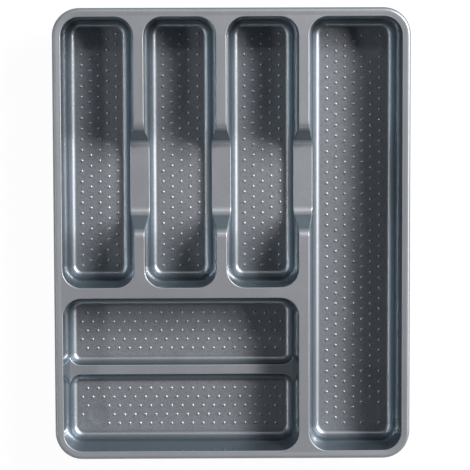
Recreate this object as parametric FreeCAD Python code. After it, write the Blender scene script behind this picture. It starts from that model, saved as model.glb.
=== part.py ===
import FreeCAD, Part
import math
import os
from collections import namedtuple
from FreeCAD import Vector

# A moulded cutlery tray with six wells, made as the sections that its one skin divides into.
# Lengths are millimetres. X runs across the tray, Y from its front to its back and Z up.
# The origin is under the middle of the tray, on the surface that its feet stand on.

# The whole tray
TRAY_WIDTH = 315.0
TRAY_LENGTH = 400.0
TRAY_HEIGHT = 45.0
WALL = 1.7

# The plan of the wells, measured at the deck
RIM_WIDTH = 7.7
DIVIDER_WIDTH = 9.2
CROSSBAR_WIDTH = 9.4
LONG_WELL_WIDTH = 81.7
CROSS_BLOCK_LENGTH = 136.6
WELL_CORNER_RADIUS = 16.5
NARROW_WELLS = 3

# The rim bead and its turned-down skirt
SKIRT_DEPTH = 8.0
SKIRT_LEAN = 1.0
BEAD_RISE = 0.3
BEAD_CROWN_WIDTH = 2.7
BEAD_SLOPE_WIDTH = 2.9
BEAD_OUTER_RADIUS = 1.9
BEAD_CROWN_RADIUS = 6.0
BEAD_FOOT_RADIUS = 2.0
BEAD_LAND = 0.3

# The well walls
UPPER_DRAFT = math.radians(7.0)
EDGE_RADIUS = 0.8
BREAK_DROP = 2.0
BREAK_RADIUS = 6.5
WALL_FOOT_RUN = 8.0
COVE_RADIUS = 6.2

# The raised tops of the dividers
CAP_RISE = 0.25

# The finger dips in the dividers
LOW_RISE = 9.5
DIP_MIDDLE_SHARE = 0.399
DIP_LENGTH = 89.4
DIP_RAMP_RUN = 12.7
DIP_RADIUS = 8.5
DIP_LAND = 0.5

# The low divider between the two cross wells
LOW_DIVIDER_WIDTH = 8.6
LOW_CORNER_RADIUS = 9.7
LOW_FLARE_SHARE = 0.75
LOW_TONGUE = 0.8

# The grip pips on the floors
PIP_DIAMETER = 3.0
PIP_HEIGHT = 0.6
PIP_PITCH = 9.45
PIP_LINE_SPACING = 8.0
PIP_MARGIN = 2.6
PIP_ROOT = 0.3

# The feet, dished down out of the floors
FOOT_DROP = 0.3
FOOT_RADIUS = 10.4
FOOT_LAND = 0.6
FOOT_SLOPE_WIDTH = 4.4
FOOT_BEND_RADIUS = 8.0

# How far a cutting shape runs past what it cuts, and how near two points are one point
OVERRUN = 5.0
SAME_POINT = 0.00001

# Heights worked out from the sizes above
DECK_TOP = TRAY_HEIGHT - BEAD_RISE
DECK_UNDER = DECK_TOP - WALL
CAP_TOP = DECK_TOP + CAP_RISE
FLOOR_TOP = FOOT_DROP + WALL
FLOOR_UNDER = FLOOR_TOP - WALL
LOW_TOP = FLOOR_TOP + LOW_RISE
LOW_UNDER = LOW_TOP - WALL
BREAK_HEIGHT = LOW_UNDER - BREAK_DROP
UP = Vector(0, 0, 1)


def wall_run(height):
    """How far the upper wall has leaned into its well at a height, from the well's edge at the deck."""
    return (DECK_TOP - height) * math.tan(UPPER_DRAFT)


BREAK_RUN = wall_run(BREAK_HEIGHT)
LOWER_DRAFT = math.atan2(WALL_FOOT_RUN - BREAK_RUN, BREAK_HEIGHT - FLOOR_TOP)
FLOOR_RUN = WALL_FOOT_RUN + COVE_RADIUS * math.tan((math.pi / 2 - LOWER_DRAFT) / 2)
BEAD_CROWN_END = SKIRT_LEAN + BEAD_CROWN_WIDTH
BEAD_FOOT = BEAD_CROWN_END + BEAD_SLOPE_WIDTH
BEAD_END = BEAD_FOOT + BEAD_LAND

# The plan of each well: its rectangle at the deck and the radii of its corners,
# which go round from the front left one to the front right, back right and back left
Plan = namedtuple("Plan", "left right front back radii")
ROUND = (WELL_CORNER_RADIUS,) * 4
OUTER_RADIUS = WELL_CORNER_RADIUS + RIM_WIDTH

half_width = TRAY_WIDTH / 2
half_length = TRAY_LENGTH / 2
left_edge = RIM_WIDTH - half_width
right_edge = half_width - RIM_WIDTH
front_edge = RIM_WIDTH - half_length
back_edge = half_length - RIM_WIDTH
long_left = right_edge - LONG_WELL_WIDTH
cross_right = long_left - DIVIDER_WIDTH
cross_back = front_edge + CROSS_BLOCK_LENGTH
cross_middle = (front_edge + cross_back) / 2
narrow_front = cross_back + CROSSBAR_WIDTH
narrow_width = (cross_right - left_edge - (NARROW_WELLS - 1) * DIVIDER_WIDTH) / NARROW_WELLS
narrow_step = narrow_width + DIVIDER_WIDTH

tray_plan = Plan(-half_width, half_width, -half_length, half_length, (OUTER_RADIUS,) * 4)
long_plan = Plan(long_left, right_edge, front_edge, back_edge, ROUND)
cross_plan = Plan(left_edge, cross_right, front_edge, cross_back, ROUND)
narrow_plans = []
for place in range(NARROW_WELLS):
    narrow_left = left_edge + place * narrow_step
    narrow_plans.append(Plan(narrow_left, narrow_left + narrow_width, narrow_front, back_edge, ROUND))

# The two basins of the cross well lie either side of the low divider and lean as the other walls do
low_edge = LOW_DIVIDER_WIDTH / 2 - wall_run(LOW_TOP)
low_corner = LOW_CORNER_RADIUS + wall_run(LOW_TOP)
rear_plan = Plan(left_edge, cross_right, cross_middle + low_edge, cross_back,
                 (low_corner, low_corner, WELL_CORNER_RADIUS, WELL_CORNER_RADIUS))
front_plan = Plan(left_edge, cross_right, front_edge, cross_middle - low_edge,
                  (WELL_CORNER_RADIUS, WELL_CORNER_RADIUS, low_corner, low_corner))

# The dips lie along Y, round a point that is a share of the narrow wells' length from their front,
# and each end has a short land at the height of the deck
dip_angle = math.atan2(DECK_TOP - LOW_TOP, DIP_RAMP_RUN)
dip_end = DIP_RADIUS * math.tan(dip_angle / 2) + DIP_LAND
dip_middle = narrow_front + DIP_MIDDLE_SHARE * (back_edge - narrow_front)
dip_back = dip_middle + DIP_LENGTH / 2
dip_front = dip_middle - DIP_LENGTH / 2
dip_back_seam = dip_back + dip_end
dip_front_seam = dip_front - dip_end

# A pip is the cap of a ball, and its root reaches a little farther than the pip itself
pip_ball = ((PIP_DIAMETER / 2) ** 2 + PIP_HEIGHT ** 2) / (2 * PIP_HEIGHT)
pip_sunk = pip_ball - PIP_HEIGHT
pip_reach = math.sqrt(pip_ball ** 2 - (pip_sunk - PIP_ROOT) ** 2)


def shifted_path(path, distance):
    """The path parallel to an open path of (a, b) points, at a distance to its right."""
    lines = []
    for (a0, b0), (a1, b1) in zip(path, path[1:]):
        length = math.hypot(a1 - a0, b1 - b0)
        side = ((b1 - b0) / length * distance, (a0 - a1) / length * distance)
        lines.append(((a0 + side[0], b0 + side[1]), (a1 + side[0], b1 + side[1])))
    shifted = [lines[0][0]]
    for (p, q), (r, s) in zip(lines, lines[1:]):
        turn = (q[0] - p[0]) * (s[1] - r[1]) - (q[1] - p[1]) * (s[0] - r[0])
        share = ((r[0] - p[0]) * (s[1] - r[1]) - (r[1] - p[1]) * (s[0] - r[0])) / turn
        shifted.append((p[0] + share * (q[0] - p[0]), p[1] + share * (q[1] - p[1])))
    shifted.append(lines[-1][1])
    return shifted


def with_radii(path, radii):
    """Outline corners (a, b, radius) from a path of points and a radius for each."""
    return [(a, b, radius) for (a, b), radius in zip(path, radii)]


def outline_face(corners, place):
    """A face whose outline has the corners (a, b, radius), where place(a, b) is a point in space."""
    arcs = []
    for index, (a, b, radius) in enumerate(corners):
        before = corners[index - 1]
        after = corners[(index + 1) % len(corners)]
        back = Vector(before[0] - a, before[1] - b, 0).normalize()
        ahead = Vector(after[0] - a, after[1] - b, 0).normalize()
        half = back.getAngle(ahead) / 2
        here = Vector(a, b, 0)
        if radius:
            reach = radius / math.tan(half)
            middle = here + (back + ahead).normalize() * (radius / math.sin(half) - radius)
            arcs.append((here + back * reach, middle, here + ahead * reach))
        else:
            arcs.append((here, here, here))
    arcs = [tuple(place(point.x, point.y) for point in arc) for arc in arcs]
    edges = []
    for arc, following in zip(arcs, arcs[1:] + arcs[:1]):
        if arc[0].distanceToPoint(arc[2]) > SAME_POINT:
            edges.append(Part.Arc(*arc).toShape())
        if arc[2].distanceToPoint(following[0]) > SAME_POINT:
            edges.append(Part.makeLine(arc[2], following[0]))
    return Part.Face(Part.Wire(edges))


def joined(pieces):
    """One solid from pieces that touch or overlap."""
    return pieces[0].multiFuse(pieces[1:]).removeSplitter().Solids[0]


def corner_centres(plan):
    """The centres of a plan's four corner arcs, in the order of its radii."""
    r = plan.radii
    return [Vector(plan.left + r[0], plan.front + r[0], 0), Vector(plan.right - r[1], plan.front + r[1], 0),
            Vector(plan.right - r[2], plan.back - r[2], 0), Vector(plan.left + r[3], plan.back - r[3], 0)]


def outward(angle):
    """The level direction at an angle from +X."""
    return Vector(math.cos(angle), math.sin(angle), 0)


def section_face(corners, centre, radius, angle):
    """A section (run into the well, height, radius) stood up at an angle round a corner's centre."""
    out = outward(angle)
    return outline_face(corners, lambda run, height: centre + out * (radius - run) + UP * height)


def ring(plan, corners):
    """A section swept round a plan's four sides and corners."""
    centres = corner_centres(plan)
    pieces = []
    for index, centre in enumerate(centres):
        radius = plan.radii[index]
        start = math.pi + index * math.pi / 2
        end = start + math.pi / 2
        pieces.append(section_face(corners, centre, radius, start).revolve(centre, UP, 90))
        next_index = (index + 1) % len(centres)
        side = centres[next_index] - centre + outward(end) * (plan.radii[next_index] - radius)
        pieces.append(section_face(corners, centre, radius, end).extrude(side))
    return joined(pieces)


def slab(plan, inset, bottom, top):
    """A flat plate with a plan's rounded outline, moved in all round by an inset."""
    edges = []
    for index, centre in enumerate(corner_centres(plan)):
        start = math.pi + index * math.pi / 2
        reach = plan.radii[index] - inset
        points = [centre + outward(start + turn * math.pi / 4) * reach + UP * bottom for turn in range(3)]
        if edges:
            edges.append(Part.makeLine(edges[-1].Vertexes[-1].Point, points[0]))
        edges.append(Part.Arc(*points).toShape())
    edges.append(Part.makeLine(edges[-1].Vertexes[-1].Point, edges[0].Vertexes[0].Point))
    return Part.Face(Part.Wire(edges)).extrude(UP * (top - bottom))


def block(x_low, x_high, y_low, y_high, z_low, z_high):
    """A plain box between two corners, used to divide the sections."""
    return Part.makeBox(x_high - x_low, y_high - y_low, z_high - z_low, Vector(x_low, y_low, z_low))


def pocket(plan, bottom, top):
    """The space inside a well's upper walls past two heights, with a rounded lip at the upper one."""
    core = min(plan.radii) / 2
    edge = wall_run(top)
    lip = edge - EDGE_RADIUS * math.tan((math.pi / 2 - UPPER_DRAFT) / 2)
    under, over = bottom - OVERRUN, top + OVERRUN
    section = [(wall_run(under), under, 0), (core, under, 0), (core, over, 0), (lip, over, 0),
               (lip, top, 0), (edge, top, EDGE_RADIUS)]
    return joined([ring(plan, section), slab(plan, core, under, over)])


def wall_section(top):
    """The skin of a well's wall from a height down to the edge of its flat floor."""
    inner = [(wall_run(top), top), (BREAK_RUN, BREAK_HEIGHT),
             (WALL_FOOT_RUN, FLOOR_TOP), (FLOOR_RUN, FLOOR_TOP)]
    outer = shifted_path(inner, WALL)
    outer[0] = (wall_run(top) - WALL / math.cos(UPPER_DRAFT), top)
    bends = (0, BREAK_RADIUS, COVE_RADIUS, 0)
    outer_bends = (0, BREAK_RADIUS + WALL, COVE_RADIUS + WALL, 0)
    return with_radii(inner, bends) + with_radii(outer, outer_bends)[::-1]


def straight_section(top, bottom):
    """The skin of an upper wall between two heights."""
    across = WALL / math.cos(UPPER_DRAFT)
    return [(wall_run(top), top, 0), (wall_run(bottom), bottom, 0),
            (wall_run(bottom) - across, bottom, 0), (wall_run(top) - across, top, 0)]


def rim_section():
    """The rim from the foot of its skirt over the bead to the deck beside the wells."""
    over = [(0, TRAY_HEIGHT - SKIRT_DEPTH), (SKIRT_LEAN, TRAY_HEIGHT), (BEAD_CROWN_END, TRAY_HEIGHT),
            (BEAD_FOOT, DECK_TOP), (BEAD_END, DECK_TOP)]
    under = shifted_path(over, WALL)
    bends = (0, BEAD_OUTER_RADIUS, BEAD_CROWN_RADIUS, BEAD_FOOT_RADIUS, 0)
    under_bends = (0, max(BEAD_OUTER_RADIUS - WALL, 0), max(BEAD_CROWN_RADIUS - WALL, 0),
                   BEAD_FOOT_RADIUS + WALL, 0)
    return with_radii(over, bends) + with_radii(under, under_bends)[::-1]


def dip_paths():
    """The upper and lower lines of a finger dip seen from the side, from its back end to its front."""
    upper = [(dip_back_seam, DECK_TOP), (dip_back, DECK_TOP), (dip_back - DIP_RAMP_RUN, LOW_TOP),
             (dip_front + DIP_RAMP_RUN, LOW_TOP), (dip_front, DECK_TOP), (dip_front_seam, DECK_TOP)]
    lower = [(-y, z) for y, z in shifted_path([(-y, z) for y, z in upper], WALL)]
    inner, outer = DIP_RADIUS - WALL, DIP_RADIUS + WALL
    upper = with_radii(upper, (0, DIP_RADIUS, DIP_RADIUS, DIP_RADIUS, DIP_RADIUS, 0))
    lower = with_radii(lower, (0, inner, outer, outer, inner, 0))
    return upper, lower


def divider_section(centre, bottom, top, radius):
    """A divider between its two leaning walls, seen from the front."""
    low_half = DIVIDER_WIDTH / 2 + wall_run(bottom)
    high_half = DIVIDER_WIDTH / 2 + wall_run(top)
    return [(centre - low_half, bottom, 0), (centre + low_half, bottom, 0),
            (centre + high_half, top, radius), (centre - high_half, top, radius)]


def middle_normal(face):
    """The direction that a face looks at its middle."""
    u_low, u_high, v_low, v_high = face.ParameterRange
    return face.normalAt((u_low + u_high) / 2, (v_low + v_high) / 2)


def across_divider(corners, centre):
    """A side view (y, z, radius) drawn out across a divider, past both of its walls."""
    half = DIVIDER_WIDTH / 2 + wall_run(LOW_UNDER) + OVERRUN
    return outline_face(corners, lambda y, z: Vector(centre - half, y, z)).extrude(Vector(2 * half, 0, 0))


def finger_dip(centre):
    """The skin of a divider where it dips for the fingers, with rounded long edges."""
    upper, lower = dip_paths()
    lean = outline_face(divider_section(centre, LOW_UNDER - OVERRUN, DECK_TOP + OVERRUN, 0),
                        lambda x, z: Vector(x, dip_front_seam - OVERRUN, z))
    walls = lean.extrude(Vector(0, dip_back_seam - dip_front_seam + 2 * OVERRUN, 0))
    dip = across_divider(upper + lower[::-1], centre).common(walls).Solids[0]
    steepest = math.cos(dip_angle)
    tops = [face for face in dip.Faces if middle_normal(face).z > steepest / 2]
    sides = [face for face in dip.Faces if abs(middle_normal(face).x) > steepest]
    side_edges = [edge for face in sides for edge in face.Edges]
    top_edges = [edge for face in tops for edge in face.Edges]
    long_edges = [edge for edge in top_edges if any(edge.isSame(other) for other in side_edges)]
    return dip.makeFillet(EDGE_RADIUS, long_edges).Solids[0]


def dip_notch(centre):
    """What a finger dip takes out of the walls beside it, down to the dip's underside."""
    over = DECK_TOP + OVERRUN
    return across_divider(dip_paths()[1] + [(dip_front_seam, over, 0), (dip_back_seam, over, 0)], centre)


def pip_lines(plan, along_y, outer_lines_full):
    """The lines of pips on a floor: each is its place across the floor and its pips' places along it."""
    across = (plan.left + FLOOR_RUN, plan.right - FLOOR_RUN)
    along = (plan.front + FLOOR_RUN, plan.back - FLOOR_RUN)
    if not along_y:
        across, along = along, across
    line_count = int((across[1] - across[0] - 2 * PIP_MARGIN) / PIP_LINE_SPACING) + 1
    full_count = int((along[1] - along[0] - 2 * PIP_MARGIN) / PIP_PITCH) + 1
    lines = []
    for line in range(line_count):
        is_full = (line % 2 == 0) == outer_lines_full
        count = full_count if is_full else full_count - 1
        place_across = sum(across) / 2 + (line - (line_count - 1) / 2) * PIP_LINE_SPACING
        first = sum(along) / 2 - (count - 1) / 2 * PIP_PITCH
        lines.append((place_across, [first + pip * PIP_PITCH for pip in range(count)]))
    return lines


def on_floor(across, along, along_y):
    """A point on a floor from its places across and along the pip lines."""
    return Vector(across, along, FLOOR_TOP) if along_y else Vector(along, across, FLOOR_TOP)


def foot_centre(lines, along_y, across_end, along_end):
    """A foot lies one line and one pitch in from the outermost pip at a corner: ends are 0 or -1."""
    across = lines[across_end][0] + (PIP_LINE_SPACING if across_end == 0 else -PIP_LINE_SPACING)
    along = lines[across_end][1][along_end] + (PIP_PITCH if along_end == 0 else -PIP_PITCH)
    return on_floor(across, along, along_y)


def pip_dome(point):
    """A pip: the cap of a ball, with its root sunk a little way into the floor."""
    lowest = math.degrees(math.asin((pip_sunk - PIP_ROOT) / pip_ball))
    return Part.makeSphere(pip_ball, point - UP * pip_sunk, UP, lowest, 90, 360)


def floor_plate(plan, lines, along_y, feet, bare_pips):
    """A flat floor with its pips, and a round opening for each foot, which no pip crowds."""
    plate = slab(plan, FLOOR_RUN, FLOOR_UNDER, FLOOR_TOP)
    for foot in feet:
        plate = plate.cut(Part.makeCylinder(FOOT_RADIUS, WALL + 2 * OVERRUN, foot - UP * (WALL + OVERRUN)))
    pips = []
    for across, places in lines:
        for along in places:
            point = on_floor(across, along, along_y)
            clear_of_feet = all(point.distanceToPoint(foot) > FOOT_RADIUS + pip_reach for foot in feet)
            if clear_of_feet and all(point.distanceToPoint(bare) > pip_reach for bare in bare_pips):
                pips.append(pip_dome(point))
    return plate.multiFuse(pips).Solids[0]


def foot_dish(centre):
    """A shallow round dish that stands on the surface under the tray."""
    lip = FOOT_RADIUS - FOOT_LAND
    pad = lip - FOOT_SLOPE_WIDTH
    outline = [(0, 0, 0), (pad, 0, FOOT_BEND_RADIUS), (lip, FLOOR_UNDER, FOOT_BEND_RADIUS),
               (FOOT_RADIUS, FLOOR_UNDER, 0), (FOOT_RADIUS, FLOOR_TOP, 0),
               (lip, FLOOR_TOP, FOOT_BEND_RADIUS), (pad, FLOOR_TOP - FOOT_DROP, FOOT_BEND_RADIUS),
               (0, FLOOR_TOP - FOOT_DROP, 0)]
    base = Vector(centre.x, centre.y, 0)
    return outline_face(outline, lambda r, z: base + Vector(r, 0, z)).revolve(base, UP, 360)


nodes = {}

# The deck, with the mouths of the wells, and the rim bead round it
well_plans = narrow_plans + [long_plan, cross_plan]
deck = slab(tray_plan, BEAD_END, DECK_UNDER, DECK_TOP)
deck = deck.cut([pocket(plan, DECK_UNDER, DECK_TOP) for plan in well_plans])
frame = joined([ring(tray_plan, rim_section()), deck])

# The rim keeps the webs between the well corners, and the inner strips are sections of their own
inner_left = left_edge + WELL_CORNER_RADIUS
inner_right = right_edge - WELL_CORNER_RADIUS
inner_front = front_edge + WELL_CORNER_RADIUS
inner_back = back_edge - WELL_CORNER_RADIUS
leg_back = cross_back - WELL_CORNER_RADIUS
inner_top = TRAY_HEIGHT + OVERRUN
nodes["rim"] = frame.cut(block(inner_left, inner_right, inner_front, inner_back, 0, inner_top))
nodes["crossbar"] = frame.common(block(inner_left, inner_right, leg_back, dip_front_seam, 0, inner_top))
nodes["front_divider_cap"] = frame.common(block(inner_left, inner_right, inner_front, leg_back, 0, inner_top))

# The dividers behind the crossbar: a raised cap, then the finger dip
divider_names = ("left", "middle", "right")
divider_centres = [plan.right + DIVIDER_WIDTH / 2 for plan in narrow_plans]
notches = [dip_notch(centre) for centre in divider_centres]
for name, centre in zip(divider_names, divider_centres):
    section = outline_face(divider_section(centre, DECK_UNDER, CAP_TOP, EDGE_RADIUS),
                           lambda x, z: Vector(x, dip_back_seam, z))
    nodes[name + "_divider_cap"] = section.extrude(Vector(0, inner_back - dip_back_seam, 0))
    nodes[name + "_finger_dip"] = finger_dip(centre)

# The walls of the deep wells, cut down where the dips pass over them
for name, plan in zip(divider_names + ("long",), narrow_plans + [long_plan]):
    nodes[name + "_well_wall"] = ring(plan, wall_section(DECK_UNDER)).cut(notches)

# The cross well: one upper wall, two basins and the low divider that bridges between them
flare = LOW_DIVIDER_WIDTH / 2 + LOW_CORNER_RADIUS * LOW_FLARE_SHARE
tongue = LOW_TONGUE - wall_run(LOW_TOP)
bridge = block(left_edge - tongue, cross_right + tongue,
               cross_middle - flare, cross_middle + flare, LOW_UNDER, LOW_TOP)
nodes["cross_well_wall"] = ring(cross_plan, straight_section(DECK_UNDER, LOW_UNDER)).cut(bridge)
basins = (("rear", rear_plan), ("front", front_plan))
nodes["low_divider"] = bridge.cut([pocket(plan, LOW_UNDER, LOW_TOP) for name, plan in basins])
for name, plan in basins:
    nodes[name + "_cross_basin_wall"] = ring(plan, wall_section(LOW_UNDER))

# The floors with their pips, and the four feet near the corners of the tray
floors = [(name + "_well_floor", plan, True, True) for name, plan in zip(divider_names, narrow_plans)]
floors.append(("long_well_floor", long_plan, True, True))
floors += [(name + "_cross_floor", plan, False, False) for name, plan in basins]
# Each foot's place is the end of the pip lines that it is near, across and then along them,
# and whether the pip right in that corner is left out too
foot_places = {"left_well_floor": (("foot_back_left", 0, -1, True),),
               "long_well_floor": (("foot_back_right", -1, -1, False), ("foot_front_right", -1, 0, False)),
               "front_cross_floor": (("foot_front_left", 0, 0, True),)}
for name, plan, along_y, outer_lines_full in floors:
    lines = pip_lines(plan, along_y, outer_lines_full)
    feet = []
    bare_pips = []
    for foot_name, across_end, along_end, bare_corner in foot_places.get(name, ()):
        feet.append(foot_centre(lines, along_y, across_end, along_end))
        nodes[foot_name] = foot_dish(feet[-1])
        if bare_corner:
            corner_line, corner_places = lines[across_end]
            bare_pips.append(on_floor(corner_line, corner_places[along_end], along_y))
    nodes[name] = floor_plate(plan, lines, along_y, feet, bare_pips)

os.makedirs("parts", exist_ok=True)
for name, shape in nodes.items():
    shape.exportStep("parts/" + name + ".step")
    print(name, "valid" if shape.isValid() else "not valid", len(shape.Solids), "solid", round(shape.Volume))
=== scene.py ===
import math
from collections import namedtuple

import bpy
from bpy.props import FloatProperty, FloatVectorProperty, PointerProperty
from bpy.types import Operator, Panel, PropertyGroup
from mathutils import Matrix, Vector


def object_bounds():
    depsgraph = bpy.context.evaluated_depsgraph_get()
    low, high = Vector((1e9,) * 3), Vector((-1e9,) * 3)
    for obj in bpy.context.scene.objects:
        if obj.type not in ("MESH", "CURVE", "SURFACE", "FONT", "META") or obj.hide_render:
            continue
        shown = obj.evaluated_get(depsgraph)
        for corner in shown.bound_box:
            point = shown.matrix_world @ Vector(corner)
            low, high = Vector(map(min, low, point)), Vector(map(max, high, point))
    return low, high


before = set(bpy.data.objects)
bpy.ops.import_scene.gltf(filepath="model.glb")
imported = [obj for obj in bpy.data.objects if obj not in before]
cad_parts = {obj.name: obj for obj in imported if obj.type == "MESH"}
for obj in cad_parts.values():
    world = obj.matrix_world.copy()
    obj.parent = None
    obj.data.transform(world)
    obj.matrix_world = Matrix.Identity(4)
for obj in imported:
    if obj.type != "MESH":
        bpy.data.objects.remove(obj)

bl_info = {
    "name": "Cutlery Tray",
    "version": (1, 0, 0),
    "blender": (4, 5, 0),
    "location": "View3D > Sidebar > Tray",
    "description": "Finishes a moulded grey cutlery tray and sets it on a white studio floor",
    "category": "Object",
}

CAD_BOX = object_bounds()
TRAY_MIDDLE = (CAD_BOX[0] + CAD_BOX[1]) / 2
FLOOR_HEIGHT = CAD_BOX[0].z
TOWARDS_BACK = Vector((0.0, 1.0, 0.0))
MILLIMETRE = 0.001

# The pieces of the tray, in groups that share a finish
RIM_PIECES = ("rim",)
DECK_PIECES = (
    "crossbar",
    "front_divider_cap",
    "left_divider_cap",
    "middle_divider_cap",
    "right_divider_cap",
    "low_divider",
)
DIP_PIECES = ("left_finger_dip", "middle_finger_dip", "right_finger_dip")
WALL_PIECES = (
    "left_well_wall",
    "middle_well_wall",
    "right_well_wall",
    "long_well_wall",
    "cross_well_wall",
    "rear_cross_basin_wall",
    "front_cross_basin_wall",
)
FLOOR_PIECES = (
    "left_well_floor",
    "middle_well_floor",
    "right_well_floor",
    "long_well_floor",
    "rear_cross_floor",
    "front_cross_floor",
)
FOOT_PIECES = ("foot_back_left", "foot_back_right", "foot_front_left", "foot_front_right")

# What differs between the finishes of one plastic
Finish = namedtuple(
    "Finish", "level_colour roughness_share silver_share gloss_share grain_height fleck_share"
)

# How finely each noise breaks up, the band in which it rises from nothing to full, and the flecks' middle
Noise = namedtuple("Noise", "detail roughness_share")
GRAIN_NOISE = Noise(detail=2.0, roughness_share=0.6)
FLECK_NOISE = Noise(detail=2.0, roughness_share=0.7)
FLECK_BAND_SHARES = (0.3, 0.7)
FLECK_MIDDLE_SHARE = 0.5
CLOUD_NOISE = Noise(detail=3.0, roughness_share=0.5)
CLOUD_BAND_SHARES = (0.35, 0.65)
HAZE_NOISE = Noise(detail=4.0, roughness_share=0.6)
HAZE_BAND_SHARES = (0.45, 0.75)

# Places of the colour sockets of a Mix node, whose names repeat
MIX_FACTOR = 0
MIX_FIRST = 6
MIX_SECOND = 7
MIX_RESULT = 2

# The rays that see the studio floor as plain white
WHITE_FLOOR_RAYS = ("Is Camera Ray", "Is Glossy Ray", "Is Transmission Ray")

# The camera's frame in millimetres, and how far it sees in metres
SENSOR_WIDTH = 36.0
CAMERA_REACH = 100.0


class Wire:
    """A socket of a node tree, so that shader maths reads as plain arithmetic."""

    def __init__(self, tree, socket=None):
        self.tree = tree
        self.socket = socket

    def node(self, kind, settings, sockets, output=0):
        """Adds one node: its settings first, then the values or links of its sockets."""
        added = self.tree.nodes.new(kind)
        for name, value in settings.items():
            setattr(added, name, value)
        for name, value in sockets.items():
            if isinstance(value, Wire):
                self.tree.links.new(value.socket, added.inputs[name])
            else:
                added.inputs[name].default_value = value
        return Wire(self.tree, added.outputs[output] if len(added.outputs) else None)

    def math(self, operation, first, second=0.0):
        """Adds one Math node."""
        return self.node("ShaderNodeMath", {"operation": operation}, {0: first, 1: second})

    def __add__(self, other):
        return self.math("ADD", self, other)

    __radd__ = __add__

    def __sub__(self, other):
        return self.math("SUBTRACT", self, other)

    def __rsub__(self, other):
        return self.math("SUBTRACT", other, self)

    def __mul__(self, other):
        return self.math("MULTIPLY", self, other)

    __rmul__ = __mul__

    def __abs__(self):
        return self.math("ABSOLUTE", self)

    def step(self, low, high):
        """Rises smoothly from 0 where the value is low to 1 where it is high."""
        return self.node(
            "ShaderNodeMapRange",
            {"interpolation_type": "SMOOTHSTEP"},
            {"Value": self, "From Min": low, "From Max": high},
        )


def new_material(name):
    """An empty material and the wire that its nodes are written with."""
    material = bpy.data.materials.new(name)
    material.use_nodes = True
    material.node_tree.nodes.clear()
    return material, Wire(material.node_tree)


def opaque(colour):
    """A colour with its alpha, as a colour socket takes it."""
    return (*colour, 1.0)


def noise(wire, place, size, kind):
    """Cloudy noise whose lumps are about size metres across."""
    return wire.node(
        "ShaderNodeTexNoise",
        {},
        {"Vector": place, "Scale": 1 / size, "Detail": kind.detail, "Roughness": kind.roughness_share},
    )


def pigment(wire, place, finish, look):
    """The plastic's colour with painted shade: steep faces such as walls, skirts and ramps take a darker
    teal colour that stands in for the shade they fall in.
    """
    facing = wire.node("ShaderNodeNewGeometry", {}, {}, output="Normal")
    level = abs(wire.node("ShaderNodeSeparateXYZ", {}, {"Vector": facing}, output="Z"))
    # Painted shade: the steeper the face, the more the darker teal steep colour takes the place of its own
    # colour
    steep = 1.0 - level.step(look.painted_shade_steep_share, look.painted_shade_level_share)
    plain = wire.node(
        "ShaderNodeMix",
        {"data_type": "RGBA"},
        {
            MIX_FACTOR: steep,
            MIX_FIRST: opaque(finish.level_colour),
            MIX_SECOND: opaque(look.painted_shade_colour),
        },
        output=MIX_RESULT,
    )
    fleck = noise(wire, place, look.fleck_size, FLECK_NOISE).step(*FLECK_BAND_SHARES)
    cloud = noise(wire, place, look.cloud_size, CLOUD_NOISE).step(*CLOUD_BAND_SHARES)
    paleness = 1.0 - look.cloud_share * cloud + finish.fleck_share * (fleck - FLECK_MIDDLE_SHARE)
    return wire.node(
        "ShaderNodeVectorMath", {"operation": "SCALE"}, {"Vector": plain, "Scale": paleness}
    )


def plastic(name, finish, look):
    """Grained, silvery moulded plastic under a clear gloss, a little dulled in places by handling."""
    material, wire = new_material(name)
    place = wire.node("ShaderNodeTexCoord", {}, {}, output="Object")
    grain = noise(wire, place, look.grain_size, GRAIN_NOISE)
    haze = noise(wire, place, look.haze_size, HAZE_NOISE).step(*HAZE_BAND_SHARES)
    # At full strength and a distance of 1, the bump's height is in metres
    skin = wire.node(
        "ShaderNodeBump",
        {},
        {"Strength": 1.0, "Distance": 1.0, "Height": grain * finish.grain_height},
    )
    shader = wire.node(
        "ShaderNodeBsdfPrincipled",
        {},
        {
            "Base Color": pigment(wire, place, finish, look),
            "Metallic": finish.silver_share,
            "Roughness": finish.roughness_share + look.haze_roughness_share * haze,
            "IOR": look.refraction,
            "Specular Tint": opaque(look.edge_colour),
            "Coat Weight": finish.gloss_share,
            "Coat Roughness": look.gloss_roughness_share,
            "Normal": skin,
        },
    )
    wire.node("ShaderNodeOutputMaterial", {}, {"Surface": shader})
    return material


def dress(names, material):
    """Gives every named piece of the tray the material."""
    for name in names:
        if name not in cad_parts:
            raise RuntimeError(f"the packed tray has no piece named {name}")
        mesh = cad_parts[name].data
        mesh.materials.clear()
        mesh.materials.append(material)


def length(name, description, default):
    """A property that holds a length in metres."""
    return FloatProperty(
        name=name, description=description, default=default, min=0.0, unit="LENGTH", precision=5
    )


def angle(name, description, degrees):
    """A property that holds an angle."""
    return FloatProperty(
        name=name, description=description, default=math.radians(degrees), subtype="ANGLE"
    )


def colour(name, description, default):
    """A property that holds a colour."""
    return FloatVectorProperty(
        name=name, description=description, default=default, subtype="COLOR", min=0.0, max=1.0
    )


def share(name, description, default):
    """A property that holds a share from 0 to 1."""
    return FloatProperty(
        name=name, description=description, default=default, min=0.0, max=1.0, subtype="FACTOR"
    )


def strength(name, description, default):
    """A property that holds a brightness, where 1 is white."""
    return FloatProperty(name=name, description=description, default=default, min=0.0)


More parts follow.
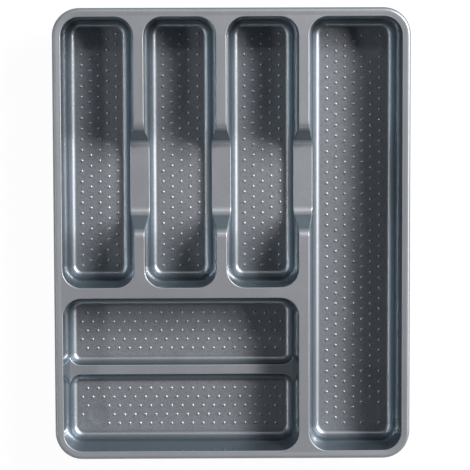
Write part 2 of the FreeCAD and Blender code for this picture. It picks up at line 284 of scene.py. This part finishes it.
class TrayPlastic(PropertyGroup):
    """The colours and the skin of the moulded plastic."""

    deck_colour: colour("Deck", "Colour of the rim, the caps and the bars", (0.456, 0.465, 0.492))
    floor_colour: colour("Floors", "Colour of the grained well floors", (0.357, 0.366, 0.393))
    # Painted shade: the darker teal colour that steep faces take in place of the plastic's own colour,
    # standing in for the shade that falls on them
    painted_shade_colour: colour("Steep faces", "Colour of the walls and of other steep faces", (0.2, 0.251, 0.291))
    cove_colour: colour("Coves", "Colour of the coves between the walls and the floors", (0.36, 0.38, 0.41))
    edge_colour: colour("Edge", "Tint of the silver at a glancing angle", (0.115, 0.25, 0.325))
    # Levelness where the painted shade on steep faces is full, and where it has faded out
    painted_shade_steep_share: share("Steep", "Levelness below which a face has the steep colour", 0.36)
    painted_shade_level_share: share("Level", "Levelness above which a face has its own colour", 0.7)
    deck_roughness_share: share("Deck roughness", "Roughness of the rim, the caps and the bars", 0.47)
    wall_roughness_share: share("Wall roughness", "Roughness of the walls", 0.44)
    floor_roughness_share: share("Floor roughness", "Roughness of the grained floors", 0.48)
    deck_silver_share: share("Deck silver", "Part of the light that the deck mirrors softly", 0.74)
    wall_silver_share: share("Wall silver", "Part of the light that the walls mirror softly", 0.90)
    floor_silver_share: share("Floor silver", "Part of the light that the floors mirror softly", 0.75)
    refraction: FloatProperty(
        name="Refraction", description="Refraction of the plastic", default=1.59, min=1.0
    )
    gloss_share: share("Gloss", "Weight of the clear skin over the pigment", 1.0)
    rim_gloss_share: share("Rim gloss", "Weight of the clear skin over the rim, worn by handling", 0.1)
    floor_gloss_share: share("Floor gloss", "Weight of the clear skin over the floors", 0.0)
    gloss_roughness_share: share("Gloss roughness", "Roughness of the clear skin", 0.05)
    grain_height: length("Grain height", "Height of the fine grain of the skin", 0.004 * MILLIMETRE)
    floor_grain_height: length("Floor grain height", "Height of the floors' grain", 0.02 * MILLIMETRE)
    grain_size: length("Grain size", "Width of one lump of the grain", 0.6 * MILLIMETRE)
    fleck_size: length("Fleck size", "Width of one fleck of the pigment", 1.5 * MILLIMETRE)
    fleck_share: share("Fleck", "How far the flecks leave the colour", 0.06)
    floor_fleck_share: share("Floor fleck", "How far the flecks leave the floors' colour", 0.3)
    cloud_size: length("Cloud size", "Width of the slow changes of the colour", 45 * MILLIMETRE)
    cloud_share: share("Cloud", "How far the slow changes leave the colour", 0.03)
    haze_size: length("Haze size", "Width of one patch of handling marks", 18 * MILLIMETRE)
    haze_roughness_share: share("Haze roughness", "Roughness that handling marks add", 0.03)


class TrayStage(PropertyGroup):
    """The lamps, the floor and the camera. Azimuths run from the right side towards the back."""

    key_azimuth: angle("Key azimuth", "Direction of the key softbox", 27)
    key_elevation: angle("Key elevation", "Height of the key softbox above the horizon", 37.5)
    key_distance: length("Key distance", "Distance of the key softbox", 3.2)
    key_width: length("Key width", "Width of the key softbox", 2.2)
    key_height: length("Key height", "Height of the key softbox", 0.84)
    key_radiance: strength("Key", "Brightness of the key softbox", 30)
    key_colour: colour("Key colour", "Colour of the key softbox", (1.0, 1.0, 1.0))
    strip_distance: length("Strip distance", "Distance of the three strip lamps", 1.5)
    strip_length: length("Strip length", "Length of one strip lamp", 1.1)
    strip_width: length("Strip width", "Width of one strip lamp", 0.1)
    strip_colour: colour("Strip colour", "Colour of the strip lamps", (0.90, 0.96, 1.0))
    back_azimuth: angle("Back azimuth", "Direction of the back strip", 90)
    back_elevation: angle("Back elevation", "Height of the back strip above the horizon", 50)
    back_radiance: strength("Back", "Brightness of the back strip", 4.4)
    left_azimuth: angle("Left azimuth", "Direction of the left strip", 187)
    left_elevation: angle("Left elevation", "Height of the left strip above the horizon", 45)
    left_radiance: strength("Left", "Brightness of the left strip", 11)
    front_azimuth: angle("Front azimuth", "Direction of the front strip", -90)
    front_elevation: angle("Front elevation", "Height of the front strip above the horizon", 28)
    front_radiance: strength("Front", "Brightness of the front strip", 3)
    sky_colour: colour("Sky", "Colour of the dim light from all round", (0.02, 0.02, 0.0225))
    floor_colour: colour("Floor", "Colour that the floor throws back at the tray", (0.18, 0.18, 0.18))
    floor_glow: strength("Floor glow", "White that the camera and reflections see in the floor", 0.965)
    floor_shade_share: share("Floor shade", "Lit part of that white, which takes the shadow", 0.05)
    floor_reach: length("Floor reach", "Half of the floor's width", 20)
    camera_place: FloatVectorProperty(
        name="Camera place",
        description="Where the camera stands",
        default=(-0.018, 0.223, 2.317),
        subtype="XYZ_LENGTH",
    )
    camera_aim: FloatVectorProperty(
        name="Camera aim",
        description="Point that the camera looks at",
        default=(0.0026, 0.0003, 0.0434),
        subtype="XYZ_LENGTH",
    )
    camera_roll: angle("Camera roll", "Turn of the camera about its own axis", -0.17)
    camera_lens: FloatProperty(
        name="Camera lens", description="Focal length of the lens", default=198.5, unit="CAMERA"
    )


def deck_plastic(name, gloss_share, look):
    """The finish of the rim, the bars, the caps and the dips."""
    finish = Finish(
        level_colour=look.deck_colour,
        roughness_share=look.deck_roughness_share,
        silver_share=look.deck_silver_share,
        gloss_share=gloss_share,
        grain_height=look.grain_height,
        fleck_share=look.fleck_share,
    )
    return plastic(name, finish, look)


class TRAY_OT_rim(Operator):
    """Finish the rim with its rolled bead"""

    bl_idname = "tray.rim"
    bl_label = "Rim"

    def execute(self, context):
        look = context.scene.tray_plastic
        dress(RIM_PIECES, deck_plastic("rim_plastic", look.rim_gloss_share, look))
        return {"FINISHED"}


class TRAY_OT_deck(Operator):
    """Finish the crossbar, the caps of the dividers and the low divider"""

    bl_idname = "tray.deck"
    bl_label = "Crossbar, caps and low divider"

    def execute(self, context):
        look = context.scene.tray_plastic
        dress(DECK_PIECES, deck_plastic("deck_plastic", look.gloss_share, look))
        return {"FINISHED"}


class TRAY_OT_dips(Operator):
    """Finish the finger dips"""

    bl_idname = "tray.dips"
    bl_label = "Finger dips"

    def execute(self, context):
        look = context.scene.tray_plastic
        dress(DIP_PIECES, deck_plastic("dip_plastic", look.gloss_share, look))
        return {"FINISHED"}


class TRAY_OT_walls(Operator):
    """Finish the walls of the wells"""

    bl_idname = "tray.walls"
    bl_label = "Well walls"

    def execute(self, context):
        look = context.scene.tray_plastic
        finish = Finish(
            level_colour=look.cove_colour,
            roughness_share=look.wall_roughness_share,
            silver_share=look.wall_silver_share,
            gloss_share=look.gloss_share,
            grain_height=look.grain_height,
            fleck_share=look.fleck_share,
        )
        dress(WALL_PIECES, plastic("wall_plastic", finish, look))
        return {"FINISHED"}


class TRAY_OT_floors(Operator):
    """Finish the grained floors of the wells and their feet"""

    bl_idname = "tray.floors"
    bl_label = "Well floors and feet"

    def execute(self, context):
        look = context.scene.tray_plastic
        finish = Finish(
            level_colour=look.floor_colour,
            roughness_share=look.floor_roughness_share,
            silver_share=look.floor_silver_share,
            gloss_share=look.floor_gloss_share,
            grain_height=look.floor_grain_height,
            fleck_share=look.floor_fleck_share,
        )
        dress(FLOOR_PIECES + FOOT_PIECES, plastic("floor_plastic", finish, look))
        return {"FINISHED"}


def softbox(name, place, size, radiance, colour):
    """A flat lamp that faces the tray from an azimuth, an elevation and a distance."""
    azimuth, elevation, distance = place
    width, height = size
    lamp = bpy.data.lights.new(name, "AREA")
    lamp.shape = "RECTANGLE"
    lamp.size = width
    lamp.size_y = height
    lamp.energy = radiance * math.pi * width * height
    lamp.color = colour
    out = Vector((
        math.cos(elevation) * math.cos(azimuth),
        math.cos(elevation) * math.sin(azimuth),
        math.sin(elevation),
    ))
    holder = bpy.data.objects.new(name, lamp)
    holder.location = TRAY_MIDDLE + distance * out
    holder.rotation_euler = out.to_track_quat("Z", "Y").to_euler()
    bpy.context.scene.collection.objects.link(holder)


def studio_floor(stage):
    """A wide floor, white to look at and in reflections, that keeps the tray's shadow."""
    reach = stage.floor_reach
    corners = [(-reach, -reach), (reach, -reach), (reach, reach), (-reach, reach)]
    mesh = bpy.data.meshes.new("studio_floor")
    mesh.from_pydata([(x, y, FLOOR_HEIGHT) for x, y in corners], [], [(0, 1, 2, 3)])
    floor = bpy.data.objects.new("studio_floor", mesh)
    bpy.context.scene.collection.objects.link(floor)
    material, wire = new_material("studio_white")
    seen = sum(wire.node("ShaderNodeLightPath", {}, {}, output=ray) for ray in WHITE_FLOOR_RAYS)
    plain = wire.node("ShaderNodeBsdfDiffuse", {}, {"Color": opaque(stage.floor_colour)})
    shade = wire.node("ShaderNodeBsdfDiffuse", {}, {"Color": opaque((stage.floor_shade_share,) * 3)})
    glow = wire.node("ShaderNodeEmission", {}, {"Strength": stage.floor_glow})
    white = wire.node("ShaderNodeAddShader", {}, {0: shade, 1: glow})
    shader = wire.node("ShaderNodeMixShader", {}, {0: seen, 1: plain, 2: white})
    wire.node("ShaderNodeOutputMaterial", {}, {"Surface": shader})
    mesh.materials.append(material)


def sky(stage):
    """Dim light from all round."""
    world = bpy.data.worlds.new("studio_sky")
    world.use_nodes = True
    world.node_tree.nodes.clear()
    wire = Wire(world.node_tree)
    light = wire.node("ShaderNodeBackground", {}, {"Color": opaque(stage.sky_colour)})
    wire.node("ShaderNodeOutputWorld", {}, {"Surface": light})
    bpy.context.scene.world = world


def camera(stage):
    """The camera, nearly straight above the tray and leaning a little to its back."""
    place = Vector(stage.camera_place)
    forward = (Vector(stage.camera_aim) - place).normalized()
    right = forward.cross(TOWARDS_BACK).normalized()
    up = right.cross(forward)
    turn = Matrix((right, up, -forward)).transposed().to_4x4()
    lens = bpy.data.cameras.new("camera")
    lens.sensor_width = SENSOR_WIDTH
    lens.lens = stage.camera_lens
    lens.clip_end = CAMERA_REACH
    holder = bpy.data.objects.new("camera", lens)
    holder.matrix_world = (
        Matrix.Translation(place) @ turn @ Matrix.Rotation(stage.camera_roll, 4, "Z")
    )
    bpy.context.scene.collection.objects.link(holder)
    bpy.context.scene.camera = holder


class TRAY_OT_stage(Operator):
    """Set up the studio floor, the lamps and the camera"""

    bl_idname = "tray.stage"
    bl_label = "Stage"

    def execute(self, context):
        stage = context.scene.tray_stage
        context.scene.view_settings.view_transform = "Standard"
        studio_floor(stage)
        sky(stage)
        camera(stage)
        softbox(
            "key_softbox",
            (stage.key_azimuth, stage.key_elevation, stage.key_distance),
            (stage.key_width, stage.key_height),
            stage.key_radiance,
            stage.key_colour,
        )
        strips = {
            "back_strip": (stage.back_azimuth, stage.back_elevation, stage.back_radiance),
            "left_strip": (stage.left_azimuth, stage.left_elevation, stage.left_radiance),
            "front_strip": (stage.front_azimuth, stage.front_elevation, stage.front_radiance),
        }
        for name, (azimuth, elevation, radiance) in strips.items():
            softbox(
                name,
                (azimuth, elevation, stage.strip_distance),
                (stage.strip_length, stage.strip_width),
                radiance,
                stage.strip_colour,
            )
        return {"FINISHED"}


class TRAY_PT_panel(Panel):
    """Buttons for the tray's pieces and its stage, and the values that they use"""

    bl_idname = "TRAY_PT_panel"
    bl_label = "Cutlery Tray"
    bl_space_type = "VIEW_3D"
    bl_region_type = "UI"
    bl_category = "Tray"

    def draw(self, context):
        for operator in OPERATORS:
            self.layout.operator(operator.bl_idname)
        for group in (context.scene.tray_plastic, context.scene.tray_stage):
            box = self.layout.box()
            for name in group.bl_rna.properties.keys():
                if name not in ("rna_type", "name"):
                    box.prop(group, name)


GROUPS = (TrayPlastic, TrayStage)
OPERATORS = (
    TRAY_OT_rim,
    TRAY_OT_deck,
    TRAY_OT_dips,
    TRAY_OT_walls,
    TRAY_OT_floors,
    TRAY_OT_stage,
)
CLASSES = GROUPS + OPERATORS + (TRAY_PT_panel,)


def register():
    for entry in CLASSES:
        bpy.utils.register_class(entry)
    bpy.types.Scene.tray_plastic = PointerProperty(type=TrayPlastic)
    bpy.types.Scene.tray_stage = PointerProperty(type=TrayStage)


def unregister():
    del bpy.types.Scene.tray_stage
    del bpy.types.Scene.tray_plastic
    for entry in reversed(CLASSES):
        bpy.utils.unregister_class(entry)


def main():
    register()
    bpy.ops.tray.rim()
    bpy.ops.tray.deck()
    bpy.ops.tray.dips()
    bpy.ops.tray.walls()
    bpy.ops.tray.floors()
    bpy.ops.tray.stage()


if __name__ == "__main__":
    main()
